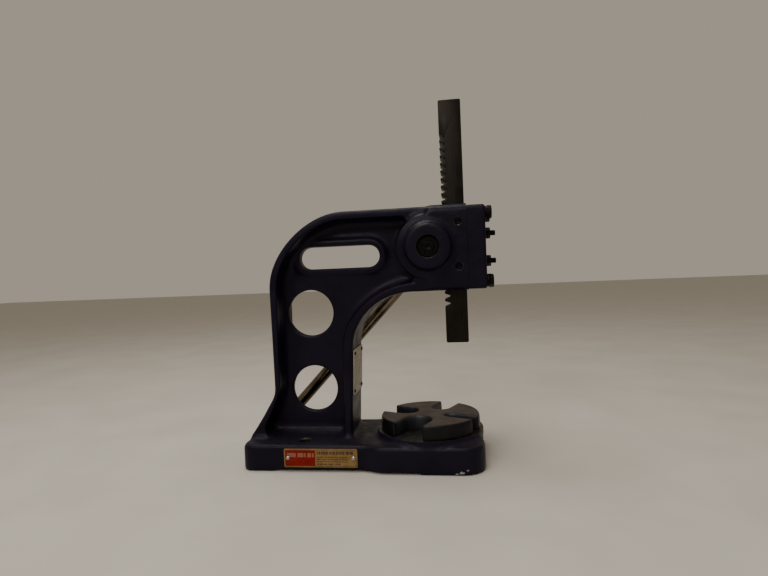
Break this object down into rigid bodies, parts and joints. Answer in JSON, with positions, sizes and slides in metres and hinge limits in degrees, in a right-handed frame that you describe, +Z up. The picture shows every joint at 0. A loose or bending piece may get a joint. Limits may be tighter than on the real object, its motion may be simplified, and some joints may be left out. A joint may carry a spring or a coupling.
{
  "type": "arbor press",
  "caption": "Bench arbor press: iron frame with a rack ram, a pinion with a sliding rod handle, and a notched turning table plate.",
  "frame": {"origin": "middle of the bottom of the object's box, at the level of the bench face of the feet", "axes": "+X from the column towards the ram, +Z up along the ram, +Y towards the handle's side"},
  "size_m": [0.2962, 0.1578, 0.4122],
  "materials": {
    "painted_iron": "satin blue-black paint on cast iron",
    "table_iron": "dark worn machined iron",
    "ram_steel": "brown-black oxide",
    "machined_steel": "satin",
    "handle_steel": "polished",
    "black_fastener": "black oxide",
    "printed_plate": "satin cream print with a red panel",
    "white_plate": "satin"
  },
  "bodies": {
    "frame": {"frame_casting": "painted_iron", "front_cover": "painted_iron", "front_gib": "machined_steel", "side_gib": "machined_steel", "cover_bolt_1": "black_fastener", "cover_bolt_2": "black_fastener", "cover_bolt_3": "black_fastener", "cover_bolt_4": "black_fastener", "lock_washer_1": "black_fastener", "lock_washer_2": "black_fastener", "lock_washer_3": "black_fastener", "lock_washer_4": "black_fastener", "gib_screw_upper": "black_fastener", "gib_screw_lower": "black_fastener", "gib_jam_nut_upper": "black_fastener", "gib_jam_nut_lower": "black_fastener", "side_set_screw_upper": "black_fastener", "side_set_screw_lower": "black_fastener", "nameplate": "printed_plate", "nameplate_rivet_1": "machined_steel", "nameplate_rivet_2": "machined_steel", "throat_label": "white_plate", "label_rivet_1": "black_fastener", "label_rivet_2": "black_fastener", "label_rivet_3": "black_fastener", "label_rivet_4": "black_fastener"},
    "ram": {"ram": "ram_steel"},
    "pinion": {"pinion_shaft": "machined_steel", "pinion_washer": "black_fastener", "pinion_end_screw": "black_fastener"},
    "handle": {"handle_rod": "handle_steel", "handle_knob_lower": "handle_steel", "handle_knob_upper": "handle_steel"},
    "table": {"table_plate": "table_iron", "table_pivot_pin": "machined_steel"}
  },
  "joints": [
    {"name": "pinion_turn", "type": "hinge", "parent": "frame", "child": "pinion", "pos_m": [0.07264, -0.0151, 0.246], "axis": [0, 1, 0], "range_deg": [-192, 264]},
    {"name": "ram_slide", "type": "slide", "parent": "frame", "child": "ram", "axis": [0, 0, 1], "range_m": [-0.0826, 0.0602]},
    {"name": "handle_slide", "type": "slide", "parent": "pinion", "child": "handle", "axis": [0.6884, 0, 0.7254], "range_m": [0, 0.272]},
    {"name": "table_turn", "type": "hinge", "parent": "frame", "child": "table", "pos_m": [0.06545, -0.0151, 0.0353], "axis": [0, 0, 1], "continuous": true}
  ],
  "couplings": [
    {"joint": "ram_slide", "follows": "pinion_turn", "m_per_rad": -0.017875}
  ]
}
